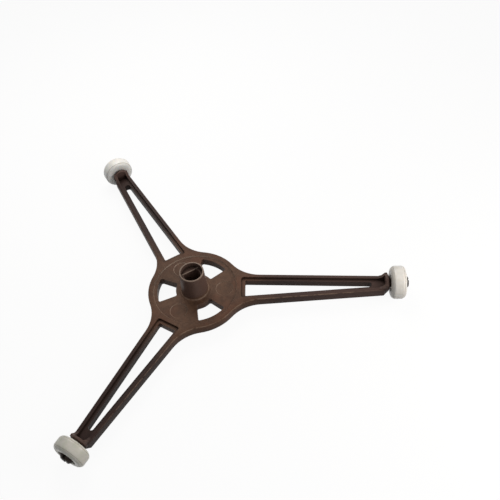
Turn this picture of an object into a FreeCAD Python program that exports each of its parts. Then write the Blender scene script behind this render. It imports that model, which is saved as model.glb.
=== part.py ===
"""Turntable roller support: a three-armed moulded frame with a drive socket and three snap-on rollers.

Millimetres, +Z up. The origin is on the drive axis, on the plane that the rollers stand on.
The first arm lies along +X and the others follow at equal angles.
"""
import FreeCAD, Part
import math
import os

# Rollers
ROLLER_COUNT = 3
TRACK_RADIUS = 95.0
ROLLER_DIAMETER = 15.4
ROLLER_WIDTH = 6.8
ROLLER_EDGE_RADIUS = 1.9
ROLLER_EDGE_STEPS = 2
ROLLER_INNER_RECESS_DIAMETER = 7.4
ROLLER_INNER_RECESS = 1.2
ROLLER_OUTER_RECESS_DIAMETER = 8.6
ROLLER_OUTER_RECESS = 0.8

# Axle stubs with their split snap heads
AXLE_DIAMETER = 4.0
AXLE_CLEARANCE = 0.05
AXIAL_PLAY = 0.5
SNAP_DIAMETER = 6.4
SNAP_TIP_DIAMETER = 4.4
SNAP_LENGTH = 1.6
SNAP_LAND = 0.5
SPLIT_WIDTH = 1.2
SPLIT_DEPTH = 5.2

# Round shoulder with a neck that narrows to its roller, and the two ramps that brace it
SHOULDER_DIAMETER = 8.4
SHOULDER_THICKNESS = 1.1
SHOULDER_CHAMFER = 0.3
NECK_LENGTH = 0.7
NECK_END_DIAMETER = 6.0
RAMP_LENGTH = 3.2
RAMP_HEIGHT = 2.8
RAMP_BEND = 0.6
RAMP_BEND_RISE = 0.3

# Frame plate: disc and arms
FRAME_THICKNESS = 4.6
FRAME_EDGE_TOP = 0.4
FRAME_EDGE_BOTTOM = 0.2
DISC_DIAMETER = 45.4
ARM_ROOT_WIDTH = 15.6
ARM_END_WIDTH = 8.4
ARM_END_CORNER = 2.2
BLEND_RADIUS = 18.0

# Raised border, the ledge inside it and the slot through each arm
BORDER_WIDTH = 1.8
LEDGE_DEPTH = 1.1
LEDGE_WIDTH = 1.4
LEDGE_CORNER = 1.2
LEDGE_END_CORNER = 0.3
SLOT_START_LAND = 1.3
SLOT_CORNER = 0.5
SLOT_TIP_ROUND = 0.9
SLOT_END_LAND = 6.0

# Recessed floor of the disc, its windows and the round moulding marks
DISC_BORDER_WIDTH = 2.5
FLOOR_DEPTH = 0.5
FLOOR_SLOPE = 0.35
WINDOW_INNER_LAND = 1.6
WINDOW_OUTER_LAND = 1.9
WINDOW_SPAN = 45.0
WINDOW_CORNER = 0.8
MARK_DIAMETER = 8.4
MARK_CIRCLE_RADIUS = 14.2
MARK_DEPTH = 0.3
MARK_SLOPE = 0.3

# Hub and its D-shaped drive socket
HUB_HEIGHT = 13.2
HUB_RIM_WALL = 0.6
HUB_TAPER = 0.6
HUB_FOOT_FILLET = 1.2
HUB_FILLET_STEPS = 3
HUB_RIM_ROUND = 0.3
HUB_RIM_STEPS = 2
SOCKET_DIAMETER = 7.8
SOCKET_FLAT_OFFSET = 2.4
SOCKET_FLAT_ANGLE = 120.0
SOCKET_MOUTH_STEP = 1.3
SOCKET_MOUTH_DEPTH = 2.8
SOCKET_FLOOR_THICKNESS = 1.6

# Heights and places that follow from the sizes above
CUT_MARGIN = 1.0
STEP_ANGLE = 360.0 / ROLLER_COUNT
AXLE_HEIGHT = ROLLER_DIAMETER / 2
FRAME_TOP = AXLE_HEIGHT
FRAME_BOTTOM = FRAME_TOP - FRAME_THICKNESS
FLOOR_TOP = FRAME_TOP - FLOOR_DEPTH
HUB_TOP = FRAME_TOP + HUB_HEIGHT
DISC_RADIUS = DISC_DIAMETER / 2
FLOOR_RADIUS = DISC_RADIUS - DISC_BORDER_WIDTH
SLOT_START = DISC_RADIUS + SLOT_START_LAND
MOUTH_RADIUS = SOCKET_DIAMETER / 2 + SOCKET_MOUTH_STEP
HUB_RIM_RADIUS = MOUTH_RADIUS + HUB_RIM_WALL
HUB_FOOT_RADIUS = HUB_RIM_RADIUS + HUB_TAPER
ROLLER_INNER_FACE = TRACK_RADIUS - ROLLER_WIDTH / 2
ROLLER_OUTER_FACE = TRACK_RADIUS + ROLLER_WIDTH / 2
NECK_END = ROLLER_INNER_FACE - AXIAL_PLAY
NECK_START = NECK_END - NECK_LENGTH
SHOULDER_INNER_FACE = NECK_START - SHOULDER_THICKNESS
SNAP_START = ROLLER_OUTER_FACE - ROLLER_OUTER_RECESS + AXIAL_PLAY
SNAP_END = SNAP_START + SNAP_LENGTH

Z_AXIS = FreeCAD.Vector(0, 0, 1)
ORIGIN = FreeCAD.Vector(0, 0, 0)


def flat(x, y, z=0.0):
    """A point of a plan drawing."""
    return FreeCAD.Vector(x, y, z)


def turned(point, degrees):
    """A plan point turned about the drive axis."""
    angle = math.radians(degrees)
    return flat(
        point.x * math.cos(angle) - point.y * math.sin(angle),
        point.x * math.sin(angle) + point.y * math.cos(angle),
    )


def line(start, end):
    """A straight edge."""
    return Part.LineSegment(start, end).toShape()


def arc(start, middle, end):
    """A round edge through three points."""
    return Part.Arc(start, middle, end).toShape()


def circle_arc(centre, start, end):
    """The shorter round edge about a centre."""
    towards = (start + end) * 0.5 - centre
    towards.normalize()
    return arc(start, centre + towards * (start - centre).Length, end)


def stepped_rounding(centre, start, end, steps):
    """The shorter arc about a centre as short straight runs, which facet lightly once revolved."""
    first = start - centre
    last = end - centre
    whole = first.getAngle(last)
    points = []
    for step in range(steps + 1):
        share = step / steps
        turn = first * math.sin((1 - share) * whole) + last * math.sin(share * whole)
        points.append(centre + turn * (1 / math.sin(whole)))
    return [line(points[step], points[step + 1]) for step in range(steps)]


def prism(edges, bottom, top):
    """A plan outline raised from one height to another."""
    face = Part.Face(Part.Wire(edges))
    face.translate(flat(0, 0, bottom))
    return face.extrude(flat(0, 0, top - bottom))


def rounded_outline(points, radii):
    """A closed outline of straight runs whose corners are arcs of the given radii."""
    count = len(points)
    starts = []
    ends = []
    edges = []
    for index in range(count):
        corner = points[index]
        back = points[index - 1] - corner
        ahead = points[(index + 1) % count] - corner
        back.normalize()
        ahead.normalize()
        half_angle = back.getAngle(ahead) / 2
        reach = radii[index] / math.tan(half_angle)
        inward = back + ahead
        inward.normalize()
        centre = corner + inward * (radii[index] / math.sin(half_angle))
        starts.append(corner + back * reach)
        ends.append(corner + ahead * reach)
        edges.append(circle_arc(centre, starts[-1], ends[-1]))
        if index:
            edges.insert(-1, line(ends[index - 1], starts[index]))
    edges.append(line(ends[-1], starts[0]))
    return edges


def revolved(profile, axis_point, axis):
    """A closed profile turned once round an axis."""
    return Part.Face(Part.Wire(profile)).revolve(axis_point, axis, 360)


def profile_lines(points):
    """Straight edges from point to point and back to the first."""
    return [line(points[i], points[(i + 1) % len(points)]) for i in range(len(points))]


def around(shape):
    """Copies of a shape, one for each arm."""
    copies = []
    for index in range(ROLLER_COUNT):
        copy = shape.copy()
        copy.rotate(ORIGIN, Z_AXIS, index * STEP_ANGLE)
        copies.append(copy)
    return copies


def arm_half_width(x, inset=0.0):
    """Half the arm's width at a distance from the drive axis, less an inset from its sloping side."""
    slope = (ARM_ROOT_WIDTH - ARM_END_WIDTH) / 2 / (SHOULDER_INNER_FACE - DISC_RADIUS)
    side = ARM_ROOT_WIDTH / 2 - slope * (x - DISC_RADIUS)
    return side - inset * math.hypot(1, slope)


def plate_outline():
    """The frame's outline: arms that narrow outwards, blended into the disc by concave arcs."""
    end = (NECK_START + NECK_END) / 2
    root = flat(DISC_RADIUS, arm_half_width(DISC_RADIUS))
    tip = flat(end, arm_half_width(end))
    along = tip - root
    along.normalize()
    outward = flat(-along.y, along.x)
    side_offset = root.dot(outward)
    reach = math.sqrt((DISC_RADIUS + BLEND_RADIUS) ** 2 - (side_offset + BLEND_RADIUS) ** 2)
    centre = outward * (side_offset + BLEND_RADIUS) + along * reach
    on_side = centre - outward * BLEND_RADIUS
    on_disc = centre * (DISC_RADIUS / (DISC_RADIUS + BLEND_RADIUS))
    before_corner = tip - along * ARM_END_CORNER
    after_corner = flat(end, tip.y - ARM_END_CORNER)

    def mirrored(point):
        return flat(point.x, -point.y)

    edges = []
    for index in range(ROLLER_COUNT):
        turn = index * STEP_ANGLE
        half = [on_disc, on_side, before_corner, after_corner]
        right = [turned(mirrored(point), turn) for point in half]
        left = [turned(point, turn) for point in half]
        next_disc = turned(mirrored(on_disc), turn + STEP_ANGLE)
        edges.append(circle_arc(turned(mirrored(centre), turn), right[0], right[1]))
        edges.append(line(right[1], right[2]))
        edges.append(line(right[2], right[3]))
        edges.append(line(right[3], left[3]))
        edges.append(line(left[3], left[2]))
        edges.append(line(left[2], left[1]))
        edges.append(circle_arc(turned(centre, turn), left[1], left[0]))
        edges.append(circle_arc(ORIGIN, left[0], next_disc))
    return edges


def plate():
    """Disc and arms as one plate with softened rims."""
    body = prism(plate_outline(), FRAME_BOTTOM, FRAME_TOP)
    top = [edge for edge in body.Edges if edge.BoundBox.ZMin > FRAME_TOP - CUT_MARGIN]
    body = body.makeChamfer(FRAME_EDGE_TOP, top)
    bottom = [edge for edge in body.Edges if edge.BoundBox.ZMax < FRAME_BOTTOM + CUT_MARGIN]
    return body.makeChamfer(FRAME_EDGE_BOTTOM, bottom)


def ledge_pocket():
    """The shallow pocket inside an arm's border, open at the shoulder."""
    start = SLOT_START - BORDER_WIDTH
    end = SHOULDER_INNER_FACE
    at_start = arm_half_width(start, BORDER_WIDTH)
    at_end = arm_half_width(end, BORDER_WIDTH)
    corners = [flat(start, -at_start), flat(end, -at_end), flat(end, at_end), flat(start, at_start)]
    radii = [LEDGE_CORNER, LEDGE_END_CORNER, LEDGE_END_CORNER, LEDGE_CORNER]
    outline = rounded_outline(corners, radii)
    return prism(outline, FRAME_TOP - LEDGE_DEPTH, FRAME_TOP + RAMP_HEIGHT + CUT_MARGIN)


def slot():
    """The long slot through an arm, tapered like the arm and round at its tip."""
    inset = BORDER_WIDTH + LEDGE_WIDTH
    end = SHOULDER_INNER_FACE - SLOT_END_LAND
    at_start = arm_half_width(SLOT_START, inset)
    at_end = arm_half_width(end, inset)
    corners = [
        flat(SLOT_START, -at_start),
        flat(end, -at_end),
        flat(end, at_end),
        flat(SLOT_START, at_start),
    ]
    tip = at_end * SLOT_TIP_ROUND
    outline = rounded_outline(corners, [SLOT_CORNER, tip, tip, SLOT_CORNER])
    return prism(outline, FRAME_BOTTOM - CUT_MARGIN, FRAME_TOP + CUT_MARGIN)


def window():
    """One sector window of the disc, midway between two arms, with soft corners."""
    inner = HUB_FOOT_RADIUS + HUB_FOOT_FILLET + WINDOW_INNER_LAND
    outer = FLOOR_RADIUS - WINDOW_OUTER_LAND
    middle = STEP_ANGLE / 2
    low = middle - WINDOW_SPAN / 2
    high = middle + WINDOW_SPAN / 2

    def at(radius, degrees):
        return turned(flat(radius, 0), degrees)

    edges = [
        line(at(inner, low), at(outer, low)),
        arc(at(outer, low), at(outer, middle), at(outer, high)),
        line(at(outer, high), at(inner, high)),
        arc(at(inner, high), at(inner, middle), at(inner, low)),
    ]
    body = prism(edges, FRAME_BOTTOM - CUT_MARGIN, FRAME_TOP + CUT_MARGIN)
    uprights = [edge for edge in body.Edges if edge.BoundBox.ZLength > FRAME_THICKNESS]
    return body.makeFillet(WINDOW_CORNER, uprights)


def hub():
    """The tapered hub with a rounded rim and a fillet at its foot, still without its socket."""
    wall = FreeCAD.Vector(HUB_TAPER, 0, FLOOR_TOP - HUB_TOP)
    wall.normalize()
    outward = FreeCAD.Vector(-wall.z, 0, wall.x)
    wall_offset = FreeCAD.Vector(HUB_FOOT_RADIUS, 0, FLOOR_TOP).dot(outward)

    foot_z = FLOOR_TOP + HUB_FOOT_FILLET
    foot_x = (wall_offset + HUB_FOOT_FILLET - foot_z * outward.z) / outward.x
    foot_centre = FreeCAD.Vector(foot_x, 0, foot_z)
    on_floor = FreeCAD.Vector(foot_x, 0, FLOOR_TOP)
    on_wall = foot_centre - outward * HUB_FOOT_FILLET

    rim_z = HUB_TOP - HUB_RIM_ROUND
    rim_x = (wall_offset - HUB_RIM_ROUND - rim_z * outward.z) / outward.x
    rim_centre = FreeCAD.Vector(rim_x, 0, rim_z)
    off_wall = rim_centre + outward * HUB_RIM_ROUND
    on_rim = FreeCAD.Vector(rim_x, 0, HUB_TOP)

    base = FRAME_TOP - FRAME_THICKNESS / 2
    profile = [
        line(FreeCAD.Vector(0, 0, base), FreeCAD.Vector(foot_x, 0, base)),
        line(FreeCAD.Vector(foot_x, 0, base), on_floor),
        *stepped_rounding(foot_centre, on_floor, on_wall, HUB_FILLET_STEPS),
        line(on_wall, off_wall),
        *stepped_rounding(rim_centre, off_wall, on_rim, HUB_RIM_STEPS),
        line(on_rim, FreeCAD.Vector(0, 0, HUB_TOP)),
        line(FreeCAD.Vector(0, 0, HUB_TOP), FreeCAD.Vector(0, 0, base)),
    ]
    return revolved(profile, ORIGIN, Z_AXIS)


def socket_cuts():
    """The D-shaped socket and the round mouth above its flat."""
    radius = SOCKET_DIAMETER / 2
    floor = FRAME_BOTTOM + SOCKET_FLOOR_THICKNESS
    top = HUB_TOP + CUT_MARGIN
    round_part = Part.makeCylinder(radius, top - floor, flat(0, 0, floor))
    beyond_flat = Part.makeBox(
        SOCKET_DIAMETER,
        2 * SOCKET_DIAMETER,
        top - floor,
        flat(SOCKET_FLAT_OFFSET, -SOCKET_DIAMETER, floor),
    )
    beyond_flat.rotate(ORIGIN, Z_AXIS, SOCKET_FLAT_ANGLE)
    mouth_bottom = HUB_TOP - SOCKET_MOUTH_DEPTH
    mouth = Part.makeCylinder(MOUTH_RADIUS, top - mouth_bottom, flat(0, 0, mouth_bottom))
    return [round_part.cut(beyond_flat), mouth]


def about_axle(steps):
    """A solid turned about the first arm's axle from places along it and their radii."""
    points = [FreeCAD.Vector(x, 0, AXLE_HEIGHT + radius) for x, radius in steps]
    return revolved(profile_lines(points), flat(0, 0, AXLE_HEIGHT), flat(1, 0, 0))


def dished(radius, slope, depth, centre):
    """A shallow round cutter with a sloping wall, from a depth below a centre up past it."""
    rise = slope / depth
    return Part.makeCone(
        radius - slope,
        radius + CUT_MARGIN * rise,
        depth + CUT_MARGIN,
        centre - flat(0, 0, depth),
    )


def shoulder():
    """The round shoulder at the end of an arm and the neck that narrows to its roller."""
    radius = SHOULDER_DIAMETER / 2
    steps = [
        (SHOULDER_INNER_FACE, 0),
        (SHOULDER_INNER_FACE, radius - SHOULDER_CHAMFER),
        (SHOULDER_INNER_FACE + SHOULDER_CHAMFER, radius),
        (NECK_START, radius),
        (NECK_END, NECK_END_DIAMETER / 2),
        (NECK_END, 0),
    ]
    body = about_axle(steps)
    below = Part.makeBox(
        NECK_END - SHOULDER_INNER_FACE,
        SHOULDER_DIAMETER,
        SHOULDER_DIAMETER,
        flat(SHOULDER_INNER_FACE, -SHOULDER_DIAMETER / 2, FRAME_BOTTOM - SHOULDER_DIAMETER),
    )
    return body.cut(below)


def ramps():
    """The two hollow ramps that rise from an arm's border to its shoulder."""
    start = SHOULDER_INNER_FACE - RAMP_LENGTH
    end = NECK_START
    root = FRAME_TOP - LEDGE_DEPTH
    peak = FRAME_TOP + RAMP_HEIGHT
    bend = start + RAMP_LENGTH * RAMP_BEND
    bend_height = FRAME_TOP + RAMP_HEIGHT * RAMP_BEND_RISE
    half = arm_half_width(start)
    side = [
        FreeCAD.Vector(start, -half, root),
        FreeCAD.Vector(end, -half, root),
        FreeCAD.Vector(end, -half, peak),
        FreeCAD.Vector(SHOULDER_INNER_FACE, -half, peak),
        FreeCAD.Vector(bend, -half, bend_height),
        FreeCAD.Vector(start, -half, FRAME_TOP),
    ]
    wedge = Part.Face(Part.Wire(profile_lines(side))).extrude(flat(0, 2 * half, 0))
    inset = FRAME_EDGE_TOP
    plan = [
        flat(start, -arm_half_width(start, inset)),
        flat(end, -arm_half_width(end, inset)),
        flat(end, arm_half_width(end, inset)),
        flat(start, arm_half_width(start, inset)),
    ]
    return wedge.common(prism(profile_lines(plan), root, peak))


def axle():
    """An axle stub with its split snap head."""
    root = (NECK_START + NECK_END) / 2
    shaft = AXLE_DIAMETER / 2
    barb = SNAP_DIAMETER / 2
    tip = SNAP_TIP_DIAMETER / 2
    steps = [
        (root, 0),
        (root, shaft),
        (SNAP_START, shaft),
        (SNAP_START, barb),
        (SNAP_START + SNAP_LAND, barb),
        (SNAP_END, tip),
        (SNAP_END, 0),
    ]
    body = about_axle(steps)
    split = Part.makeBox(
        SPLIT_DEPTH + CUT_MARGIN,
        SPLIT_WIDTH,
        2 * SNAP_DIAMETER,
        flat(SNAP_END - SPLIT_DEPTH, -SPLIT_WIDTH / 2, AXLE_HEIGHT - SNAP_DIAMETER),
    )
    return body.cut(split)


def roller_frame():
    """The whole moulding: plate, hub with its socket, and three arm ends."""
    disc_floor = dished(FLOOR_RADIUS, FLOOR_SLOPE, FLOOR_DEPTH, flat(0, 0, FRAME_TOP))
    mark_centre = flat(MARK_CIRCLE_RADIUS, 0, FLOOR_TOP)
    mark = dished(MARK_DIAMETER / 2, MARK_SLOPE, MARK_DEPTH, mark_centre)
    body = plate().cut([disc_floor] + around(mark) + around(window()))
    body = body.fuse(around(ramps()))
    body = body.cut(around(ledge_pocket()) + around(slot()))
    body = body.fuse([hub()] + around(shoulder()) + around(axle()))
    for tool in socket_cuts():
        body = body.cut(tool)
    return body.removeSplitter()


def roller():
    """A roller with rounded edges, recessed faces and a bore for its axle stub."""
    bore = AXLE_DIAMETER / 2 + AXLE_CLEARANCE
    outer = ROLLER_DIAMETER / 2
    inner_recess = ROLLER_INNER_RECESS_DIAMETER / 2
    outer_recess = ROLLER_OUTER_RECESS_DIAMETER / 2
    edge = ROLLER_EDGE_RADIUS
    inner_web = ROLLER_INNER_FACE + ROLLER_INNER_RECESS
    outer_web = ROLLER_OUTER_FACE - ROLLER_OUTER_RECESS

    def at(x, radius):
        return FreeCAD.Vector(x, 0, AXLE_HEIGHT + radius)

    inner_round = [at(ROLLER_INNER_FACE, outer - edge), at(ROLLER_INNER_FACE + edge, outer)]
    outer_round = [at(ROLLER_OUTER_FACE - edge, outer), at(ROLLER_OUTER_FACE, outer - edge)]
    profile = [
        line(at(inner_web, bore), at(inner_web, inner_recess)),
        line(at(inner_web, inner_recess), at(ROLLER_INNER_FACE, inner_recess)),
        line(at(ROLLER_INNER_FACE, inner_recess), inner_round[0]),
        *stepped_rounding(at(ROLLER_INNER_FACE + edge, outer - edge), *inner_round, ROLLER_EDGE_STEPS),
        line(inner_round[1], outer_round[0]),
        *stepped_rounding(at(ROLLER_OUTER_FACE - edge, outer - edge), *outer_round, ROLLER_EDGE_STEPS),
        line(outer_round[1], at(ROLLER_OUTER_FACE, outer_recess)),
        line(at(ROLLER_OUTER_FACE, outer_recess), at(outer_web, outer_recess)),
        line(at(outer_web, outer_recess), at(outer_web, bore)),
        line(at(outer_web, bore), at(inner_web, bore)),
    ]
    return revolved(profile, flat(0, 0, AXLE_HEIGHT), flat(1, 0, 0))


def save(name, shape):
    """Write one solid under its node's name."""
    solid = shape.Solids[0]
    if len(shape.Solids) != 1 or not solid.isValid():
        raise ValueError(name + " is not one sound solid")
    solid.exportStep("parts/" + name + ".step")


def main():
    os.makedirs("parts", exist_ok=True)
    save("roller_frame", roller_frame())
    for index, shape in enumerate(around(roller())):
        save("roller_" + str(index + 1), shape)


main()
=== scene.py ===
"""Dresses a three-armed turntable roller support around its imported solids."""

import logging
import math
from dataclasses import dataclass, field
from enum import Enum
from typing import Callable, Union

import bpy
from mathutils import Matrix, Vector


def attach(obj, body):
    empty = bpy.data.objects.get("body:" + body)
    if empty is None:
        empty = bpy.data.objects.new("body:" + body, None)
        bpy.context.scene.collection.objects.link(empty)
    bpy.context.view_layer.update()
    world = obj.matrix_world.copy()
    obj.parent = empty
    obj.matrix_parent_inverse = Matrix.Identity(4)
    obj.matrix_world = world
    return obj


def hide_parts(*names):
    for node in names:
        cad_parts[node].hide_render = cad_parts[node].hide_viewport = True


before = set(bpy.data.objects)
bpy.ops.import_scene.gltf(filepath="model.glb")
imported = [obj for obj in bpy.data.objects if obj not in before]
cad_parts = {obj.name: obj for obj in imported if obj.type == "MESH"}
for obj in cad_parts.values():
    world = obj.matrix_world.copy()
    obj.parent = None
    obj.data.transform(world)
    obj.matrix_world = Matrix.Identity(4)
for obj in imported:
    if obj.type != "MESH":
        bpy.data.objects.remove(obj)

log = logging.getLogger("roller_support")
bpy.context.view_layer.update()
MM = 0.001
PHOTO_SIZE = 500
ARM_STEP = math.radians(120.0)
SHOWN_RAYS = ("Is Camera Ray", "Is Glossy Ray", "Is Transmission Ray")
MIX_FIRST, MIX_SECOND, MIX_RESULT = 6, 7, 2

Triple = tuple[float, float, float]
Colour = Triple
Span = tuple[float, float]
Plug = Union["Socket", float, tuple]


class Slot(Enum):
    """The record's material slots."""

    FRAME = "frame_plastic"
    ROLLER = "roller_plastic"


class Lamp(Enum):
    """The jobs that the studio's lamps do."""

    SIDE = "side"
    BACK = "back"
    FRONT = "front"


class Element(Enum):
    """What is selected in edit mode."""

    VERT = "VERT"
    EDGE = "EDGE"
    FACE = "FACE"


class End(Enum):
    """A roller's ends, by their direction along its axle."""

    OUTER = 1
    INNER = -1


class Socket:
    """An output socket that Python's operators turn into Math nodes."""

    def __init__(self, recipe: "Recipe", raw: bpy.types.NodeSocket) -> None:
        """Keep the socket and the recipe that it belongs to."""
        self.recipe = recipe
        self.raw = raw

    def math(self, operation: str, first: Plug, second: Plug = 0.0) -> "Socket":
        """Add one Math node.

        Args:
            operation: The Math node's operation.
            first: Its first value or link.
            second: Its second value or link.

        Returns:
            The node's output.
        """
        inputs = {0: first, 1: second}
        return self.recipe.node("ShaderNodeMath", {"operation": operation}, inputs)

    def __add__(self, other: Plug) -> "Socket":
        """This plus the other."""
        return self.math("ADD", self, other)

    def __radd__(self, other: Plug) -> "Socket":
        """The other plus this."""
        return self.math("ADD", other, self)

    def __sub__(self, other: Plug) -> "Socket":
        """This less the other."""
        return self.math("SUBTRACT", self, other)

    def __rsub__(self, other: Plug) -> "Socket":
        """The other less this."""
        return self.math("SUBTRACT", other, self)

    def __mul__(self, other: Plug) -> "Socket":
        """This times the other."""
        return self.math("MULTIPLY", self, other)

    def __rmul__(self, other: Plug) -> "Socket":
        """The other times this."""
        return self.math("MULTIPLY", other, self)

    def __abs__(self) -> "Socket":
        """This without its sign."""
        return self.math("ABSOLUTE", self)

    def root(self) -> "Socket":
        """The square root of this."""
        return self.math("SQRT", self)

    def larger(self, other: Plug) -> "Socket":
        """The larger of this and the other."""
        return self.math("MAXIMUM", self, other)

    def rise(self, start: float, end: float) -> "Socket":
        """A smooth mask that goes from 0 at start to 1 at end.

        Args:
            start: Where the mask is 0.
            end: Where the mask is 1.

        Returns:
            The mask.
        """
        return self.recipe.node(
            "ShaderNodeMapRange",
            {"interpolation_type": "SMOOTHSTEP"},
            {"Value": self, "From Min": start, "From Max": end},
        )


class Recipe:
    """The node tree of a material or the world, with one way to add any node."""

    def __init__(self, owner: Union[bpy.types.Material, bpy.types.World]) -> None:
        """Start an empty node tree.

        Args:
            owner: The material or world that the tree belongs to.
        """
        owner.use_nodes = True
        self.tree = owner.node_tree
        self.tree.nodes.clear()

    def add(self, kind: str, settings: dict, inputs: dict) -> bpy.types.Node:
        """Add a node.

        Args:
            kind: The node's type.
            settings: Properties that are set first.
            inputs: Values or links of its sockets, by name or place.

        Returns:
            The node.
        """
        made = self.tree.nodes.new(kind)
        for key, value in settings.items():
            setattr(made, key, value)
        for key, value in inputs.items():
            if isinstance(value, Socket):
                self.tree.links.new(value.raw, made.inputs[key])
            else:
                made.inputs[key].default_value = value
        return made

    def node(
        self, kind: str, settings: dict, inputs: dict, output: Union[int, str] = 0
    ) -> Socket:
        """Add a node and take one of its outputs.

        Args:
            kind: The node's type.
            settings: Properties that are set first.
            inputs: Values or links of its sockets, by name or place.
            output: Which output is wanted.

        Returns:
            That output.
        """
        return Socket(self, self.add(kind, settings, inputs).outputs[output])

    def place(self, location: Vector = Vector(), turn: float = 0.0) -> Socket:
        """Object coordinates about a point, in millimetres.

        Args:
            location: The point that becomes the middle, in metres.
            turn: The angle about +Z of the new first axis.

        Returns:
            The coordinates.
        """
        coordinates = self.node("ShaderNodeTexCoord", {}, {}, "Object")
        about = self.node(
            "ShaderNodeMapping",
            {"vector_type": "TEXTURE"},
            {0: coordinates, "Location": location, "Rotation": (0.0, 0.0, turn)},
        )
        return self.scaled(about, (1 / MM, 1 / MM, 1 / MM))

    def scaled(self, vector: Socket, factors: Triple) -> Socket:
        """A vector times one factor for each axis."""
        inputs = {0: vector, 1: factors}
        return self.node("ShaderNodeVectorMath", {"operation": "MULTIPLY"}, inputs)

    def apart(self, vector: Socket, point: Vector) -> Socket:
        """How far a vector lies from a point."""
        inputs = {0: vector, 1: point}
        return self.node("ShaderNodeVectorMath", {"operation": "DISTANCE"}, inputs, "Value")

    def parts(self, vector: Socket) -> tuple[Socket, Socket, Socket]:
        """Split a vector.

        Args:
            vector: The vector.

        Returns:
            Its three components.
        """
        split = self.add("ShaderNodeSeparateXYZ", {}, {0: vector})
        first, second, third = (Socket(self, output) for output in split.outputs)
        return first, second, third

    def mix(self, mask: Plug, first: Plug, second: Plug) -> Socket:
        """One colour that goes over into another.

        Args:
            mask: 0 for the first colour and 1 for the second.
            first: The first colour.
            second: The second colour.

        Returns:
            The mixed colour.
        """
        inputs = {0: mask, MIX_FIRST: opaque(first), MIX_SECOND: opaque(second)}
        return self.node("ShaderNodeMix", {"data_type": "RGBA"}, inputs, MIX_RESULT)

    def bump(self, height: Socket, depth: float) -> Socket:
        """A bumped normal.

        Args:
            height: The relief, from 0 to 1.
            depth: How many millimetres a height of 1 stands for.

        Returns:
            The normal.
        """
        inputs = {"Height": height, "Distance": depth * MM, "Strength": 1.0}
        return self.node("ShaderNodeBump", {}, inputs)

    def seen(self) -> Socket:
        """Tell what is looked at from what only lights the object.

        Returns:
            1 for what is seen straight, in gloss or through glass, and else 0.
        """
        rays = self.add("ShaderNodeLightPath", {}, {}).outputs
        shown, *others = (Socket(self, rays[name]) for name in SHOWN_RAYS)
        for other in others:
            shown = shown.larger(other)
        return shown

    def close(self, shader: Socket, kind: str = "ShaderNodeOutputMaterial") -> None:
        """Join a shader to the tree's output."""
        self.add(kind, {}, {"Surface": shader})


def opaque(colour: Plug) -> Plug:
    """A colour with its fourth channel, or the socket as it is."""
    return colour if isinstance(colour, Socket) else (*colour, 1.0)


def moved(span: Span, by: float) -> Span:
    """A span moved by a length."""
    return span[0] + by, span[1] + by


@dataclass(frozen=True)
class NoiseLayer:
    """Smooth noise: lumps for each millimetre, finer layers, and the span of it used."""

    scale: float
    detail: float
    rough: float
    span: Span = (0.0, 1.0)

    def bare(self, recipe: Recipe, place: Socket) -> Socket:
        """The noise as it is, from 0 to 1.

        Args:
            recipe: The node tree.
            place: Where the noise is read.

        Returns:
            The noise.
        """
        inputs = {
            "Vector": place,
            "Scale": self.scale,
            "Detail": self.detail,
            "Roughness": self.rough,
        }
        return recipe.node("ShaderNodeTexNoise", {}, inputs)

    def mask(self, recipe: Recipe, place: Socket) -> Socket:
        """The noise spread over its span."""
        return self.bare(recipe, place).rise(*self.span)


@dataclass(frozen=True)
class FrameSpot:
    """Sockets that say where a point of the frame lies, in millimetres, and on what.

    Reach is the distance from the drive axis, to_flat the distance towards the side of
    the socket's flat, and upward the height of the normal. The last four are masks.
    """

    recipe: Recipe
    place: Socket
    height: Socket
    reach: Socket
    to_flat: Socket
    upward: Socket
    middle: Socket
    # painted light: mask of the arm along +X, which is shown as more lit
    fade: Socket
    bevel: Socket
    floor: Socket


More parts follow.
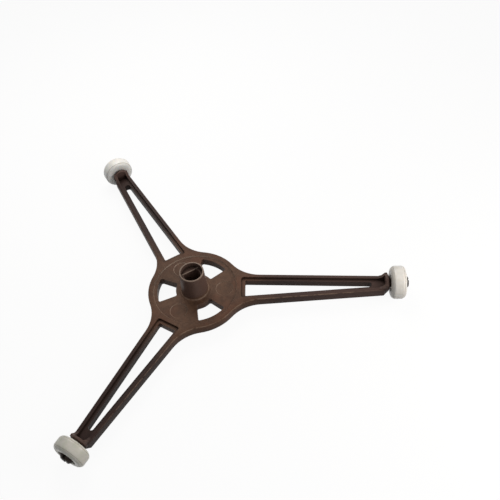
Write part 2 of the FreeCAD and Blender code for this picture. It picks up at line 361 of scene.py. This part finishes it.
@dataclass(frozen=True)
class BrownPlastic:
    """Dark brown moulded plastic with a fine grain; lengths in millimetres.

    A share says how far a tone covers what lies under it, and a relief how far it is
    held back there. A span says where a mask goes from 0 to 1; those of the axle, lip,
    shelf and flat count from the length that is named above them.
    """

    body: Colour = (0.126, 0.066, 0.039)
    deep: Colour = (0.058, 0.032, 0.022)
    rusty: Colour = (0.126, 0.054, 0.031)
    # painted shade: the arms grow darker towards their ends, standing in for light that falls off
    arm_shade: Colour = (0.030, 0.0180, 0.0168)
    # painted light: lighter, greyer tone of the arm along +X, standing in for light from that side
    lit_arm_tone: Colour = (0.098, 0.061, 0.052)
    # painted light: the hub above the disc gets a greyer, cooler tone standing in for the sheen
    # and cool shade on its sides
    hub: Colour = (0.112, 0.071, 0.060)
    # painted shade on upright faces, darkest towards the floor
    wall_shade: Colour = (0.019, 0.013, 0.011)
    # painted shade in the inner corners
    crevice_shade: Colour = (0.020, 0.012, 0.009)
    # rubbed wear and painted highlight on the bevelled edges
    edge: Colour = (0.235, 0.160, 0.118)
    # painted highlight tone for the hub's rim, the flat's upper edge and the steps in the disc's
    # floor
    lip: Colour = (0.300, 0.225, 0.180)
    # painted shade on the axle stubs and snap heads past the arms' ends
    axle_shade: Colour = (0.016, 0.012, 0.010)
    roughness: float = 0.46
    specular: float = 0.09

    flow: NoiseLayer = NoiseLayer(0.055, 3.0, 0.55, (0.34, 0.68))
    mottle: NoiseLayer = NoiseLayer(0.40, 3.0, 0.65, (0.34, 0.66))
    speck: NoiseLayer = NoiseLayer(1.6, 2.0, 0.6, (0.30, 0.72))
    patch: NoiseLayer = NoiseLayer(0.085, 2.0, 0.5, (0.48, 0.72))
    wear_highlight_noise: NoiseLayer = NoiseLayer(0.35, 3.0, 0.6, (0.30, 0.60))
    grain: NoiseLayer = NoiseLayer(4.2, 1.0, 0.5)
    flow_share: float = 0.42
    mottle_share: float = 0.34
    speck_share: float = 0.20
    patch_share: float = 0.55
    flow_rough: float = 0.05
    speck_rough: float = 0.10
    wear_gloss: float = 0.08
    grain_height: float = 0.6
    speck_height: float = 0.4
    grain_depth: float = 0.035

    middle_span: Span = (27.0, 42.0)
    # painted shade on the arms: where it starts and ends, and how strong it is
    arm_shade_span: Span = (20.0, 46.0)
    arm_shade_share: float = 0.90
    # painted light on the arm along +X: its span across and how strong it is
    lit_arm_span: Span = (16.0, 70.0)
    lit_arm_share: float = 0.50
    # painted light on the hub: the heights where it starts, and how strong it is
    hub_sheen_span: Span = (7.6, 9.5)
    hub_sheen_share: float = 0.75
    # painted shade on the axle stubs: where it starts and how strong it is
    axle_start: float = 90.9
    axle_span: Span = (0.0, 0.5)
    axle_share: float = 0.8

    # painted shade on upright faces: which faces, how it grows towards their foot, and where it is
    # held back
    wall_slope: Span = (0.15, 0.45)
    wall_top: Span = (6.6, 7.8)
    wall_foot: Span = (2.6, 7.4)
    foot_share: float = 0.45
    wall_share: float = 0.42
    wall_middle_relief: float = 0.8
    wall_shade_lit_arm_relief: float = 0.8
    crevice_reach: float = 2.6
    crevice_samples: int = 8
    crevice_span: Span = (0.25, 0.95)
    crevice_floor_relief: float = 0.7

    floor_inside: Span = (9.0, 9.6)
    floor_outside: Span = (21.0, 22.0)
    floor_bottom: Span = (6.3, 6.7)
    floor_top: Span = (7.9, 8.3)
    # painted highlight on the small steps in the disc's floor: its spread towards the flat and how
    # strong it is
    step_highlight_span: Span = (3.0, 15.0)
    step_highlight_share: float = 0.30
    far_step_highlight_share: float = 0.65

    bevel_start: Span = (0.20, 0.62)
    bevel_end: Span = (0.78, 0.985)
    # rubbed wear and painted highlight on the bevelled edges: where it fades out and how strong it
    # is
    wear_highlight_span: Span = (66.0, 86.0)
    wear_highlight_end_relief: float = 0.8
    wear_highlight_share: float = 0.42
    wear_highlight_middle_share: float = 0.22
    wear_highlight_lit_arm_share: float = 0.25

    # painted highlight on the hub's rim and the flat's upper edge: heights, spans and turn
    rim_height: float = 20.9
    lip_span: Span = (-0.42, -0.08)
    highlight_share: float = 0.8
    shelf_height: float = 18.1
    shelf_bottom: Span = (-0.6, -0.1)
    shelf_top: Span = (0.1, 0.3)
    flat_turn: float = ARM_STEP
    flat_offset: float = 2.4
    flat_start: Span = (-0.1, 0.1)
    flat_end: Span = (0.35, 0.7)

    def survey(self, recipe: Recipe) -> FrameSpot:
        """Read the coordinates and the masks that several tones share.

        Args:
            recipe: The finish's node tree.

        Returns:
            The sockets.
        """
        place = recipe.place()
        across, along, height = recipe.parts(place)
        reach = (across * across + along * along).root()
        to_flat, _, _ = recipe.parts(recipe.place(turn=self.flat_turn))
        normal = recipe.node("ShaderNodeNewGeometry", {}, {}, "True Normal")
        _, _, upward = recipe.parts(normal)
        floor = reach.rise(*self.floor_inside) * (1 - reach.rise(*self.floor_outside))
        floor = floor * height.rise(*self.floor_bottom) * (1 - height.rise(*self.floor_top))
        return FrameSpot(
            recipe=recipe,
            place=place,
            height=height,
            reach=reach,
            to_flat=to_flat,
            upward=upward,
            middle=1 - reach.rise(*self.middle_span),
            fade=across.rise(*self.lit_arm_span),
            bevel=upward.rise(*self.bevel_start) * (1 - upward.rise(*self.bevel_end)),
            floor=floor,
        )

    def shaded_walls(self, spot: FrameSpot) -> Socket:
        """Painted shade on the upright faces, darkest at their foot and least on the lit arm along
        +X.

        Args:
            spot: The frame's sockets.

        Returns:
            The mask.
        """
        upright = 1 - spot.upward.rise(*self.wall_slope)
        upright = upright * (1 - spot.height.rise(*self.wall_top))
        foot = 1 - spot.height.rise(*self.wall_foot)
        whole = (1 - spot.middle * self.wall_middle_relief) * self.wall_share
        wall_shade_amount = foot * self.foot_share + whole
        return upright * wall_shade_amount * (1 - spot.fade * self.wall_shade_lit_arm_relief)

    def crevice_shading(self, spot: FrameSpot) -> Socket:
        """Painted shade in the inner corners, from ambient occlusion, held back on the disc's
        floor.

        Args:
            spot: The frame's sockets.

        Returns:
            The mask.
        """
        open_air = spot.recipe.node(
            "ShaderNodeAmbientOcclusion",
            {"only_local": True, "samples": self.crevice_samples},
            {"Distance": self.crevice_reach * MM},
            "AO",
        )
        closed = 1 - open_air.rise(*self.crevice_span)
        return closed * (1 - spot.floor * self.crevice_floor_relief)

    def steps(self, spot: FrameSpot) -> Socket:
        """Painted highlight on the small steps in the disc's floor, palest towards the socket's
        flat.

        Args:
            spot: The frame's sockets.

        Returns:
            The mask.
        """
        share = spot.to_flat.rise(*self.step_highlight_span) * self.far_step_highlight_share + self.step_highlight_share
        return spot.bevel * spot.floor * share

    def wear_and_highlight(self, spot: FrameSpot) -> Socket:
        """The bevelled edges, lighter as rubbed wear and as painted highlight, hardly any at the
        arms' ends.

        Args:
            spot: The frame's sockets.

        Returns:
            The mask.
        """
        rubbed = spot.bevel * self.wear_highlight_noise.mask(spot.recipe, spot.place)
        return rubbed * (1 - spot.reach.rise(*self.wear_highlight_span) * self.wear_highlight_end_relief)

    def rims(self, spot: FrameSpot) -> Socket:
        """Painted highlight on the hub's rim and the upper edge of the socket's flat.

        Args:
            spot: The frame's sockets.

        Returns:
            The mask.
        """
        flat = spot.to_flat.rise(*moved(self.flat_start, self.flat_offset))
        flat = flat * (1 - spot.to_flat.rise(*moved(self.flat_end, self.flat_offset)))
        flat = flat * spot.height.rise(*moved(self.shelf_bottom, self.shelf_height))
        flat = flat * (1 - spot.height.rise(*moved(self.shelf_top, self.shelf_height)))
        return spot.height.rise(*moved(self.lip_span, self.rim_height)).larger(flat)

    def material(self) -> bpy.types.Material:
        """Write the finish as nodes.

        Returns:
            The material.
        """
        material = bpy.data.materials.new("brown_moulded_plastic")
        recipe = Recipe(material)
        spot = self.survey(recipe)
        flow, mottle, speck, patch = (
            layer.mask(recipe, spot.place)
            for layer in (self.flow, self.mottle, self.speck, self.patch)
        )
        # painted shade mask on the axle stubs
        axle = spot.reach.rise(*moved(self.axle_span, self.axle_start))
        wear_and_highlight = self.wear_and_highlight(spot)
        wear_and_highlight_share = (
            spot.middle * self.wear_highlight_middle_share
            + spot.fade * self.wear_highlight_lit_arm_share
            + self.wear_highlight_share
        )
        shade = flow * self.flow_share + mottle * self.mottle_share + speck * self.speck_share
        colour = recipe.mix(shade, self.body, self.deep)
        for mask, tone in (
            (patch * self.patch_share, self.rusty),
            # painted shade on the arms, darker further from the hub
            (spot.reach.rise(*self.arm_shade_span) * self.arm_shade_share, self.arm_shade),
            # painted light on the arm along +X
            (spot.fade * self.lit_arm_share, self.lit_arm_tone),
            # painted sheen and shade tone on the hub
            (spot.height.rise(*self.hub_sheen_span) * self.hub_sheen_share, self.hub),
            # painted shade on upright faces
            (self.shaded_walls(spot), self.wall_shade),
            # painted shade in the inner corners
            (self.crevice_shading(spot), self.crevice_shade),
            # painted highlight on the steps in the disc's floor
            (self.steps(spot), self.lip),
            # rubbed wear and painted highlight on the bevelled edges
            (wear_and_highlight * wear_and_highlight_share, self.edge),
            # painted highlight on the hub's rim and the flat's upper edge
            (self.rims(spot) * self.highlight_share, self.lip),
            (axle * self.axle_share, self.axle_shade),
        ):
            colour = recipe.mix(mask, colour, tone)
        rough = self.roughness + (speck - 0.5) * self.speck_rough
        rough = rough + (flow - 0.5) * self.flow_rough - wear_and_highlight * self.wear_gloss
        grain = self.grain.bare(recipe, spot.place)
        relief = grain * self.grain_height + speck * self.speck_height
        shader = recipe.node(
            "ShaderNodeBsdfPrincipled",
            {},
            {
                "Base Color": colour,
                "Roughness": rough,
                "Specular IOR Level": self.specular,
                "Normal": recipe.bump(relief, self.grain_depth),
            },
        )
        recipe.close(shader)
        return material


@dataclass(frozen=True)
class IvoryPlastic:
    """Waxy ivory plastic with running marks round its tread; lengths in millimetres.

    Shares and spans mean what they mean for the brown plastic. The tread's span counts
    from the roller's radius.
    """

    body: Colour = (0.77, 0.745, 0.705)
    cloudy: Colour = (0.71, 0.68, 0.635)
    # dark tone for running marks and dust, and for painted shade and shadow on the rollers
    grime_and_shade: Colour = (0.33, 0.30, 0.26)
    # painted shadow of the arm's end on the roller's inner face
    arm_end_shadow: float = 0.0
    roughness: float = 0.36
    specular: float = 0.45
    wax: float = 0.12
    wax_colour: Colour = (1.0, 0.85, 0.65)
    wax_depth: float = 1.2

    cloud: NoiseLayer = NoiseLayer(0.32, 3.0, 0.55, (0.35, 0.70))
    ring: NoiseLayer = NoiseLayer(1.0, 3.0, 0.6, (0.52, 0.74))
    ring_stretch: Triple = (9.0, 0.12, 0.12)
    dust: NoiseLayer = NoiseLayer(0.9, 3.0, 0.6, (0.28, 0.66))
    ripple: NoiseLayer = NoiseLayer(2.6, 2.0, 0.5)
    cloud_rough: float = 0.05
    scuff_rough: float = 0.16
    ring_height: float = 0.5
    ripple_height: float = 0.5
    ripple_depth: float = 0.02

    tread_span: Span = (-0.9, -0.15)
    scuff_share: float = 0.16
    gate_span: Span = (0.35, 0.60)
    line_span: Span = (0.05, 0.16)
    line_start: Span = (6.0, 6.2)
    line_share: float = 0.7
    # painted shade in the gate dimple and the fine rim lines
    sunk_shade_share: float = 0.8
    # dust and painted shade in the end recesses round the bore
    hollow_span: Span = (3.8, 4.4)
    recess_dust_and_shade_share: float = 0.45
    inner_span: Span = (-3.2, -1.9)

    def material(self, roller: "Roller") -> bpy.types.Material:
        """Write the finish as nodes for one roller.

        Args:
            roller: The roller.

        Returns:
            The material.
        """
        material = bpy.data.materials.new(f"ivory_plastic_{roller.number}")
        recipe = Recipe(material)
        place = recipe.place(roller.centre, roller.angle)
        along, across, up = recipe.parts(place)
        out = (across * across + up * up).root()
        tread = out.rise(*moved(self.tread_span, roller.diameter / 2))
        cloud = self.cloud.mask(recipe, place)
        rings = self.ring.bare(recipe, recipe.scaled(place, self.ring_stretch))
        scuffs = tread * rings.rise(*self.ring.span)
        # dust and painted shade in the end recesses round the bore
        recess_dust_and_shade = (1 - out.rise(*self.hollow_span)) * self.dust.mask(recipe, place)
        # painted shade mask of the gate dimple
        gate = 1 - recipe.apart(place, roller.gate).rise(*self.gate_span)
        line = 1 - abs(abs(along) - roller.line_place).rise(*self.line_span)
        line = line * out.rise(*self.line_start)
        # painted shadow mask on the roller's inner face
        inward = 1 - along.rise(*self.inner_span)
        colour = recipe.mix(cloud, self.body, self.cloudy)
        # running marks, painted shade in the gate dimple and fine lines, dust and painted shade in
        # the recesses, painted shadow on the inner face
        for mask in (
            scuffs * self.scuff_share,
            # painted shade in the gate dimple and the fine rim lines
            gate.larger(line * self.line_share) * self.sunk_shade_share,
            recess_dust_and_shade * self.recess_dust_and_shade_share,
            inward * self.arm_end_shadow,
        ):
            colour = recipe.mix(mask, colour, self.grime_and_shade)
        ripple = self.ripple.bare(recipe, place)
        relief = ripple * self.ripple_height + rings * tread * self.ring_height
        shader = recipe.node(
            "ShaderNodeBsdfPrincipled",
            {},
            {
                "Base Color": colour,
                "Roughness": self.roughness + scuffs * self.scuff_rough + cloud * self.cloud_rough,
                "Specular IOR Level": self.specular,
                "Subsurface Weight": self.wax,
                "Subsurface Radius": self.wax_colour,
                "Subsurface Scale": self.wax_depth * MM,
                "Normal": recipe.bump(relief, self.ripple_depth),
            },
        )
        recipe.close(shader)
        return material


@dataclass(frozen=True)
class PaleSheet:
    """The floor: a pale sheet that looks white and keeps a faint shadow."""

    paper: Colour = (0.32, 0.32, 0.32)
    fibre: float = 0.985
    white: Colour = (1.0, 1.0, 1.0)
    glow: float = 0.93
    grain: NoiseLayer = NoiseLayer(0.4, 2.0, 0.5)

    def material(self) -> bpy.types.Material:
        """Write the finish as nodes.

        Returns:
            The material.
        """
        material = bpy.data.materials.new("pale_sheet")
        recipe = Recipe(material)
        seen = recipe.seen()
        grain = self.grain.bare(recipe, recipe.place())
        tone = recipe.mix(grain, self.paper, tuple(self.fibre * part for part in self.paper))
        tone = recipe.mix(seen, tone, self.white)
        plain = recipe.node("ShaderNodeBsdfDiffuse", {}, {"Color": tone})
        lit = recipe.node("ShaderNodeEmission", {}, {"Color": opaque(self.white)})
        inputs = {0: seen * self.glow, 1: plain, 2: lit}
        recipe.close(recipe.node("ShaderNodeMixShader", {}, inputs))
        return material


def lone(target: bpy.types.Object) -> None:
    """Select one object alone and make it active.

    Args:
        target: The object.
    """
    bpy.ops.object.select_all(action="DESELECT")
    target.select_set(True)
    bpy.context.view_layer.objects.active = target


def pick(target: bpy.types.Object, kind: Element, test: Callable) -> None:
    """Select what passes a test, in edit mode.

    Args:
        target: The object, in edit mode.
        kind: What is selected.
        test: Takes the mesh and a vertex, edge or face, and says whether it is wanted.
    """
    bpy.ops.mesh.select_mode(type=kind.value)
    bpy.ops.mesh.select_all(action="DESELECT")
    bpy.ops.object.mode_set(mode="OBJECT")
    mesh = target.data
    items = {
        Element.VERT: mesh.vertices,
        Element.EDGE: mesh.edges,
        Element.FACE: mesh.polygons,
    }
    for item in items[kind]:
        item.select = bool(test(mesh, item))
    bpy.ops.object.mode_set(mode="EDIT")


def settle(target: bpy.types.Object) -> None:
    """Put an object's place, turn and scale into its mesh."""
    lone(target)
    bpy.ops.object.transform_apply(location=True, rotation=True, scale=True)


def hand_over(
    piece: bpy.types.Object, node: str, body: str, material: bpy.types.Material
) -> None:
    """Give a piece its finish and let it stand for its CAD node.

    Args:
        piece: The finished piece.
        node: The CAD node that it replaces.
        body: The body that it rides on.
        material: The finish.
    """
    piece.data.materials.clear()
    piece.data.materials.append(material)
    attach(piece, body)
    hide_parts(node)


@dataclass
class MouldedFrame:
    """The one-piece moulding: disc, three slotted arms, hub and snap axles.

    Lengths are in millimetres.
    """

    node: str = "roller_frame"
    body: str = "frame"
    merge_gap: float = 0.0005
    smooth_angle: float = math.radians(50.0)
    flat_weight: int = 100
    floor_heights: Span = (6.8, 7.75)
    floor_radii: Span = (8.2, 20.4)
    level_gap: float = 0.01
    finish: BrownPlastic = BrownPlastic()

    def build(self) -> bpy.types.Object:
        """Copy the CAD node, weld it and shade its chamfers as roundings.

        Returns:
            The frame's piece.
        """
        lone(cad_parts[self.node])
        bpy.ops.object.duplicate()
        piece = bpy.context.active_object
        piece.name = "moulded_frame"
        piece.parent = None
        for key in list(piece.keys()):
            del piece[key]
        bpy.ops.object.mode_set(mode="EDIT")
        bpy.ops.mesh.select_all(action="SELECT")
        bpy.ops.mesh.remove_doubles(threshold=self.merge_gap * MM)
        bpy.ops.object.mode_set(mode="OBJECT")
        self.shade(piece)
        return piece

    def shade(self, piece: bpy.types.Object) -> None:
        """Smooth the shading over chamfers while the flats stay flat.

        Args:
            piece: The welded frame.
        """
        lone(piece)
        if piece.data.has_custom_normals:
            bpy.ops.mesh.customdata_custom_splitnormals_clear()
        bpy.ops.object.shade_smooth_by_angle(angle=self.smooth_angle)
        bpy.ops.object.mode_set(mode="EDIT")
        pick(piece, Element.EDGE, self.on_disc_floor)
        bpy.ops.mesh.mark_sharp()
        bpy.ops.object.mode_set(mode="OBJECT")
        weighted = piece.modifiers.new("flats", "WEIGHTED_NORMAL")
        weighted.keep_sharp = True
        weighted.weight = self.flat_weight
        bpy.ops.object.modifier_apply(modifier=weighted.name)

    def on_disc_floor(self, mesh: bpy.types.Mesh, edge: bpy.types.MeshEdge) -> bool:
        """Whether an edge goes round the disc's sunk floor or one of its marks.

        Args:
            mesh: The frame's mesh.
            edge: One of its edges.

        Returns:
            True for the edges whose shading stays crisp.
        """
        first, second = (mesh.vertices[index].co / MM for index in edge.vertices)
        level = abs(first.z - second.z) < self.level_gap
        low, high = self.floor_heights
        hub, rim = self.floor_radii
        between = all(hub < end.xy.length < rim for end in (first, second))
        return level and between and low < first.z < high

    def dress(self, piece: bpy.types.Object) -> None:
        """Give the frame its finish and its body."""
        hand_over(piece, self.node, self.body, self.finish.material())


@dataclass
class Roller:
    """A roller with rounded rims and recessed ends, in millimetres."""

    number: int
    gate_angle: float
    finish: IvoryPlastic
    diameter: float = 15.4
    width: float = 6.8
    track_radius: float = 95.0
    around: int = 96
    inner_recess_diameter: float = 7.4
    inner_recess: float = 1.2
    outer_recess_diameter: float = 8.6
    outer_recess: float = 0.8
    bore_diameter: float = 4.1
    edge_radius: float = 1.9
    edge_profile: float = 0.45
    edge_segments: int = 8
    softening: float = 0.14
    soft_segments: int = 2
    line_place: float = 2.3
    line_wall: float = 0.07
    line_depth: float = 0.09
    gate_tilt: float = math.radians(50.0)
    gate_ball: float = 0.8
    gate_depth: float = 0.34
    gate_detail: int = 3
    smooth_angle: float = math.radians(40.0)
    end_normal: float = 0.9
    rim_depth: float = 1.0
    bore_slack: float = 0.05
    slack: float = 0.01
    ring_slack: float = 0.001

    @property
    def node(self) -> str:
        """The CAD node that this roller replaces."""
        return f"roller_{self.number}"

    @property
    def body(self) -> str:
        """The body that this roller rides on."""
        return "roller_" + "abc"[self.number - 1]

    @property
    def angle(self) -> float:
        """The angle of its axle about +Z."""
        return (self.number - 1) * ARM_STEP

    @property
    def centre(self) -> Vector:
        """The roller's middle.

        Returns:
            The point, in metres.
        """
        reach = self.track_radius * MM
        height = self.diameter / 2 * MM
        return Vector((reach * math.cos(self.angle), reach * math.sin(self.angle), height))

    @property
    def gate(self) -> Vector:
        """The gate mark's place along, across and above the roller's middle."""
        mark = self.over_gate(0.0)
        return Vector((mark.z, mark.y, -mark.x))

    def build(self) -> bpy.types.Object:
        """Shape a cylinder into the roller and set it on its axle.

        Returns:
            The roller's piece.
        """
        bpy.ops.object.select_all(action="DESELECT")
        bpy.ops.mesh.primitive_cylinder_add(
            vertices=self.around, radius=self.diameter / 2 * MM, depth=self.width * MM
        )
        piece = bpy.context.active_object
        piece.name = f"ivory_roller_{self.number}"
        bpy.ops.object.mode_set(mode="EDIT")
        bore = (self.bore_diameter / 2, 0.0)
        self.sink(piece, End.OUTER, [(self.outer_recess_diameter / 2, self.outer_recess), bore])
        self.sink(piece, End.INNER, [(self.inner_recess_diameter / 2, self.inner_recess), bore])
        self.bridge_bore(piece)
        self.round_edges(piece)
        self.line_rims(piece)
        bpy.ops.object.mode_set(mode="OBJECT")
        self.press_gate(piece)
        bpy.ops.object.shade_smooth_by_angle(angle=self.smooth_angle)
        turn = Matrix.Rotation(self.angle, 4, "Z") @ Matrix.Rotation(math.pi / 2, 4, "Y")
        piece.matrix_world = Matrix.Translation(self.centre) @ turn
        settle(piece)
        return piece

    def sink(self, piece: bpy.types.Object, end: End, steps: list[Span]) -> None:
        """Inset and push an end face again and again, and open it.

        Args:
            piece: The roller, in edit mode, with its axle along +Z.
            end: Which end.
            steps: Each new radius with the depth that its face is then moved inwards.
        """
        radius = self.diameter / 2
        pick(piece, Element.FACE, lambda _, face: face.normal.z * end.value > self.end_normal)
        for inner, depth in steps:
            bpy.ops.mesh.inset(thickness=(radius - inner) * MM, use_even_offset=True)
            if depth:
                move = Vector((0.0, 0.0, -end.value * depth * MM))
                bpy.ops.mesh.extrude_region_move(TRANSFORM_OT_translate={"value": move})
            radius = inner
        bpy.ops.mesh.delete(type="ONLY_FACE")

    def bridge_bore(self, piece: bpy.types.Object) -> None:
        """Join the two open circles into the bore.

        Args:
            piece: The roller, in edit mode.
        """
        limit = (self.bore_diameter / 2 + self.bore_slack) * MM
        pick(piece, Element.VERT, lambda _, vert: vert.co.xy.length < limit)
        bpy.ops.mesh.select_mode(type=Element.EDGE.value)
        bpy.ops.mesh.bridge_edge_loops()

    def ring_radius(self, mesh: bpy.types.Mesh, edge: bpy.types.MeshEdge) -> float:
        """The radius of an edge that goes round the axle.

        Args:
            mesh: The roller's mesh.
            edge: One of its edges.

        Returns:
            The radius in metres, or 0 for any other edge.
        """
        first, second = (mesh.vertices[index].co for index in edge.vertices)
        level = abs(first.z - second.z) < self.ring_slack * MM
        same = abs(first.xy.length - second.xy.length) < self.ring_slack * MM
        return first.xy.length if level and same else 0.0

    def round_edges(self, piece: bpy.types.Object) -> None:
        """Round the two rims and soften the other turned edges.

        Args:
            piece: The roller, in edit mode.
        """
        rim = (self.diameter / 2 - self.slack) * MM
        recess = (self.outer_recess_diameter / 2 + self.slack) * MM
        pick(piece, Element.EDGE, lambda mesh, edge: self.ring_radius(mesh, edge) > rim)
        bpy.ops.mesh.bevel(
            offset=self.edge_radius * MM,
            segments=self.edge_segments,
            profile=self.edge_profile,
            affect="EDGES",
        )
        pick(piece, Element.EDGE, lambda mesh, edge: 0 < self.ring_radius(mesh, edge) < recess)
        bpy.ops.mesh.bevel(
            offset=self.softening * MM, segments=self.soft_segments, affect="EDGES"
        )

    def line_rims(self, piece: bpy.types.Object) -> None:
        """Sink a fine line into each rounded rim, where the tread ends.

        Args:
            piece: The roller, in edit mode.
        """
        outside = (self.diameter / 2 - self.rim_depth) * MM
        wanted = self.line_place * MM
        bpy.ops.object.mode_set(mode="OBJECT")
        rims = [face.center for face in piece.data.polygons if face.center.xy.length > outside]
        band = min((abs(spot.z) for spot in rims), key=lambda place: abs(place - wanted))
        bpy.ops.object.mode_set(mode="EDIT")

        def on_line(_: bpy.types.Mesh, face: bpy.types.MeshPolygon) -> bool:
            """Whether a face belongs to the band that the line runs along."""
            level = abs(abs(face.center.z) - band) < self.slack * MM
            return level and face.center.xy.length > outside

        pick(piece, Element.FACE, on_line)
        bpy.ops.mesh.inset(thickness=self.line_wall * MM, depth=-self.line_depth * MM)

    def over_gate(self, lift: float) -> Vector:
        """A point over the gate mark on the inner rim.

        Args:
            lift: Its height over the rounded rim.

        Returns:
            The point, with the roller's middle at the origin and its axle along +Z.
        """
        arm = self.edge_radius + lift
        out = self.diameter / 2 - self.edge_radius + arm * math.cos(self.gate_tilt)
        inwards = self.width / 2 - self.edge_radius + arm * math.sin(self.gate_tilt)
        across, along = math.cos(self.gate_angle), math.sin(self.gate_angle)
        return Vector((out * across, out * along, -inwards))

    def press_gate(self, piece: bpy.types.Object) -> None:
        """Sink the small round gate mark into the inner rim.

        Args:
            piece: The roller.
        """
        bpy.ops.object.select_all(action="DESELECT")
        bpy.ops.mesh.primitive_ico_sphere_add(
            subdivisions=self.gate_detail,
            radius=self.gate_ball * MM,
            location=self.over_gate(self.gate_ball - self.gate_depth) * MM,
        )
        ball = bpy.context.active_object
        lone(piece)
        cut = piece.modifiers.new("gate", "BOOLEAN")
        cut.object = ball
        cut.operation = "DIFFERENCE"
        cut.solver = "EXACT"
        bpy.ops.object.modifier_apply(modifier=cut.name)
        bpy.data.objects.remove(ball)

    def dress(self, piece: bpy.types.Object) -> None:
        """Give the roller its finish and its body."""
        hand_over(piece, self.node, self.body, self.finish.material(self))


@dataclass(frozen=True)
class SoftLamp:
    """A round soft lamp: its place and width in millimetres and its power in watts."""

    spot: Triple
    size: float
    power: float


@dataclass
class Studio:
    """Camera, lamps, floor and surroundings.

    Lengths are in millimetres and the camera's angles in degrees. The focal length and
    the middle, where the optical axis meets the picture, are in the picture's pixels.
    """

    focal_pixels: float = 689.0
    azimuth: float = 10.43
    elevation: float = 53.43
    roll: float = -10.13
    distance: float = 336.4
    aside: Span = (6.47, 3.75)
    middle: Span = (210.0, 290.0)
    sensor: float = 36.0
    clip: Span = (10.0, 20000.0)
    floor_size: float = 6000.0
    ambient: float = 0.245
    warm: Colour = (1.0, 0.955, 0.90)
    cool: Colour = (0.94, 0.98, 1.0)
    sheet: PaleSheet = PaleSheet()
    lamps: dict[Lamp, SoftLamp] = field(
        default_factory=lambda: {
            Lamp.SIDE: SoftLamp((218.0, -64.0, 118.0), 150.0, 0.30),
            Lamp.BACK: SoftLamp((-28.0, 166.0, 198.0), 170.0, 0.325),
            Lamp.FRONT: SoftLamp((40.0, -200.0, 230.0), 160.0, 0.05),
        }
    )

    def camera(self) -> None:
        """Set the camera at the photograph's angle."""
        turn, lift, lean = (math.radians(a) for a in (self.azimuth, self.elevation, self.roll))
        flat = math.cos(lift)
        back = Vector((math.sin(turn) * flat, -math.cos(turn) * flat, math.sin(lift)))
        level = Vector((math.cos(turn), math.sin(turn), 0.0))
        upright = back.cross(level)
        right = level * math.cos(lean) + upright * math.sin(lean)
        up = upright * math.cos(lean) - level * math.sin(lean)
        spot = back * self.distance + right * self.aside[0] + up * self.aside[1]
        data = bpy.data.cameras.new("camera")
        data.sensor_width = self.sensor
        data.lens = self.focal_pixels / PHOTO_SIZE * self.sensor
        data.shift_x = (PHOTO_SIZE / 2 - self.middle[0]) / PHOTO_SIZE
        data.shift_y = (self.middle[1] - PHOTO_SIZE / 2) / PHOTO_SIZE
        data.clip_start, data.clip_end = (end * MM for end in self.clip)
        eye = bpy.data.objects.new("camera", data)
        bpy.context.scene.collection.objects.link(eye)
        axes = Matrix((right, up, back)).transposed().to_4x4()
        eye.matrix_world = Matrix.Translation(spot * MM) @ axes
        bpy.context.scene.camera = eye

    def light(self) -> None:
        """Hang the soft lamps, all turned to the object's middle."""
        for job, fit in self.lamps.items():
            spot = Vector(fit.spot)
            data = bpy.data.lights.new(job.value, "AREA")
            data.shape = "DISK"
            data.size = fit.size * MM
            data.energy = fit.power
            data.color = self.warm
            lamp = bpy.data.objects.new(job.value, data)
            bpy.context.scene.collection.objects.link(lamp)
            lamp.location = spot * MM
            lamp.visible_camera = False
            lamp.rotation_euler = (-spot).to_track_quat("-Z", "Y").to_euler()

    def floor(self) -> None:
        """Lay the pale floor under the rollers."""
        bpy.ops.object.select_all(action="DESELECT")
        bpy.ops.mesh.primitive_plane_add(size=self.floor_size * MM)
        sheet = bpy.context.active_object
        sheet.name = "floor"
        sheet.data.materials.append(self.sheet.material())

    def surroundings(self) -> None:
        """Even light all round, and white where the camera sees past the floor."""
        world = bpy.data.worlds.new("surroundings")
        recipe = Recipe(world)
        inputs = {"Color": opaque(self.cool), "Strength": self.ambient}
        even = recipe.node("ShaderNodeBackground", {}, inputs)
        white = recipe.node("ShaderNodeBackground", {}, {"Color": opaque(self.sheet.white)})
        mixed = recipe.node("ShaderNodeMixShader", {}, {0: recipe.seen(), 1: even, 2: white})
        recipe.close(mixed, "ShaderNodeOutputWorld")
        bpy.context.scene.world = world

    def build(self) -> None:
        """Set up everything around the object."""
        bpy.context.scene.view_settings.view_transform = "Standard"
        self.camera()
        self.light()
        self.floor()
        self.surroundings()


def main() -> None:
    """Build the pieces in order, report each of them and set up the studio."""
    logging.basicConfig(level=logging.INFO)
    # painted shadow of the arm's end on the inner face of the roller at 0 degrees
    arm_shadowed_ivory = IvoryPlastic(arm_end_shadow=0.5)
    # painted light: a lighter copy of the ivory for the roller at 120 degrees
    lit_ivory = IvoryPlastic(body=(0.90, 0.89, 0.86), cloudy=(0.86, 0.845, 0.81))
    # partly painted shade: a darker copy of the ivory for the roller at 240 degrees, with a
    # yellower tint of its own
    shaded_yellowed_ivory = IvoryPlastic(body=(0.68, 0.645, 0.59), cloudy=(0.605, 0.60, 0.51))
    assemblies = (
        MouldedFrame(),
        Roller(number=1, gate_angle=math.radians(20.0), finish=arm_shadowed_ivory),
        Roller(number=2, gate_angle=math.radians(269.0), finish=lit_ivory),
        Roller(number=3, gate_angle=math.radians(150.0), finish=shaded_yellowed_ivory),
    )
    for assembly in assemblies:
        piece = assembly.build()
        assembly.dress(piece)
        faces = len(piece.data.polygons)
        log.info("%s rides on %s with %d faces", piece.name, assembly.body, faces)
    Studio().build()


if __name__ == "__main__":
    main()
